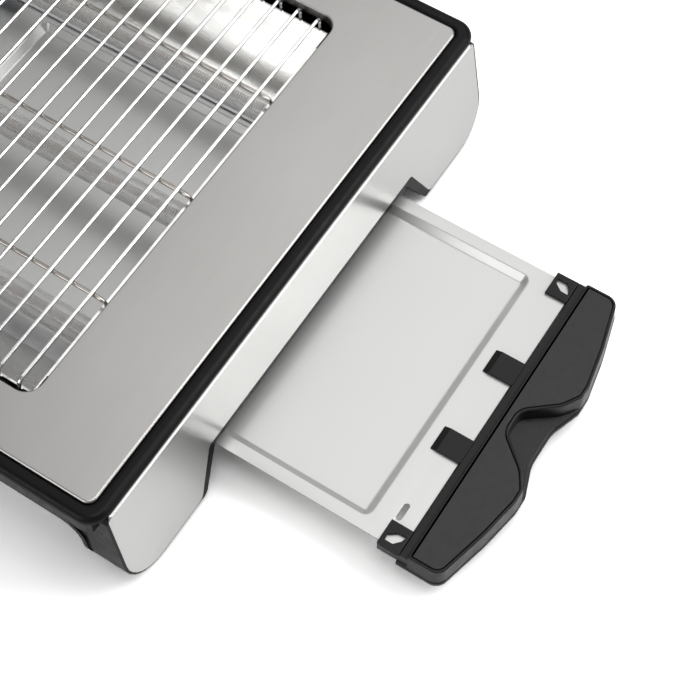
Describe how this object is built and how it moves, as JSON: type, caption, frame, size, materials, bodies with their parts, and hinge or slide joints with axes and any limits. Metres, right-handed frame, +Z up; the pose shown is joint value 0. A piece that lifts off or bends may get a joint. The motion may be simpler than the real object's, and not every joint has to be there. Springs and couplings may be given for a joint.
{
  "type": "electric toaster",
  "caption": "Flat electric toaster: wire grille over quartz heating tubes in a steel top, black frame on legs, timer knob, pull-out crumb tray with a bow-shaped handle.",
  "frame": {"origin": "on the table, under the middle of the overall length, width and height box, with the crumb tray pulled part of the way out as in the picture", "axes": "+Z up, +X along the length, the way the crumb tray pulls out; +Y to the back long side; the timer knob is at the -X end"},
  "size_m": [0.4308, 0.2332, 0.0527],
  "materials": {
    "top_steel": "warm brushed stainless steel, grain along the length",
    "panel_steel": "fine brushed stainless steel, paler",
    "body_black": "satin black moulding",
    "grip_black": "satin black, darker and glossier along the back bar",
    "cover_black": "fine matte texture",
    "knob_black": "matte",
    "grille_wire": "bright plated wire",
    "reflector_steel": "bright reflector sheet",
    "inner_sheet": "plain zinc-coated sheet",
    "tray_sheet": "smooth pale sheet",
    "quartz": "clear quartz glass, slightly milky",
    "coil_wire": "oxidised resistance wire",
    "ceramic": "unglazed ceramic, a dull cream",
    "bus_strip": "plain strip",
    "foot_rubber": "matte rubber",
    "gland_rubber": "matte rubber",
    "lamp_amber": "amber lens",
    "lamp_body": "pale moulding",
    "timer_case": "dark moulded case",
    "terminal_cream": "cream moulding",
    "fuse_case": "pale case",
    "wire_sleeve": "woven glass-fibre sleeve",
    "screw_zinc": "zinc plated"
  },
  "bodies": {
    "body": {"top_plate": "top_steel", "tray_end_panel": "panel_steel", "control_end_panel": "panel_steel", "top_frame": "body_black", "tray_end_cap": "body_black", "control_end_cap": "body_black", "front_side_rail": "body_black", "back_side_rail": "body_black", "grille_wires": "grille_wire", "grille_rods": "grille_wire", "reflector_well": "reflector_steel", "base_pan": "inner_sheet", "front_tray_runner": "inner_sheet", "back_tray_runner": "inner_sheet", "tray_end_tube_bracket": "inner_sheet", "control_end_tube_bracket": "inner_sheet", "tray_end_bus_bar": "bus_strip", "control_end_bus_bar": "bus_strip", "timer_body": "timer_case", "indicator_lens": "lamp_amber", "indicator_lamp": "lamp_body", "cord_gland": "gland_rubber", "terminal_block": "terminal_cream", "thermal_fuse": "fuse_case", "lead_wires": "wire_sleeve", "base_screws": "screw_zinc", "rubber_foot_1": "foot_rubber", "rubber_foot_2": "foot_rubber", "rubber_foot_3": "foot_rubber", "rubber_foot_4": "foot_rubber", "quartz_tube_1": "quartz", "heating_coil_1": "coil_wire", "ceramic_cap_tray_end_1": "ceramic", "ceramic_cap_control_end_1": "ceramic", "quartz_tube_2": "quartz", "heating_coil_2": "coil_wire", "ceramic_cap_tray_end_2": "ceramic", "ceramic_cap_control_end_2": "ceramic", "quartz_tube_3": "quartz", "heating_coil_3": "coil_wire", "ceramic_cap_tray_end_3": "ceramic", "ceramic_cap_control_end_3": "ceramic"},
    "crumb_tray": {"crumb_tray": "tray_sheet", "tray_handle_grip": "grip_black", "tray_handle_cover": "cover_black", "handle_screws": "screw_zinc"},
    "timer_knob": {"timer_knob": "knob_black", "timer_shaft": "screw_zinc"}
  },
  "joints": [
    {"name": "tray_slide", "type": "slide", "parent": "body", "child": "crumb_tray", "axis": [1, 0, 0], "range_m": [-0.074, 0.09]},
    {"name": "timer_turn", "type": "hinge", "parent": "body", "child": "timer_knob", "pos_m": [-0.20042, -0.042, 0.0275], "axis": [1, 0, 0], "range_deg": [0, 270]}
  ]
}
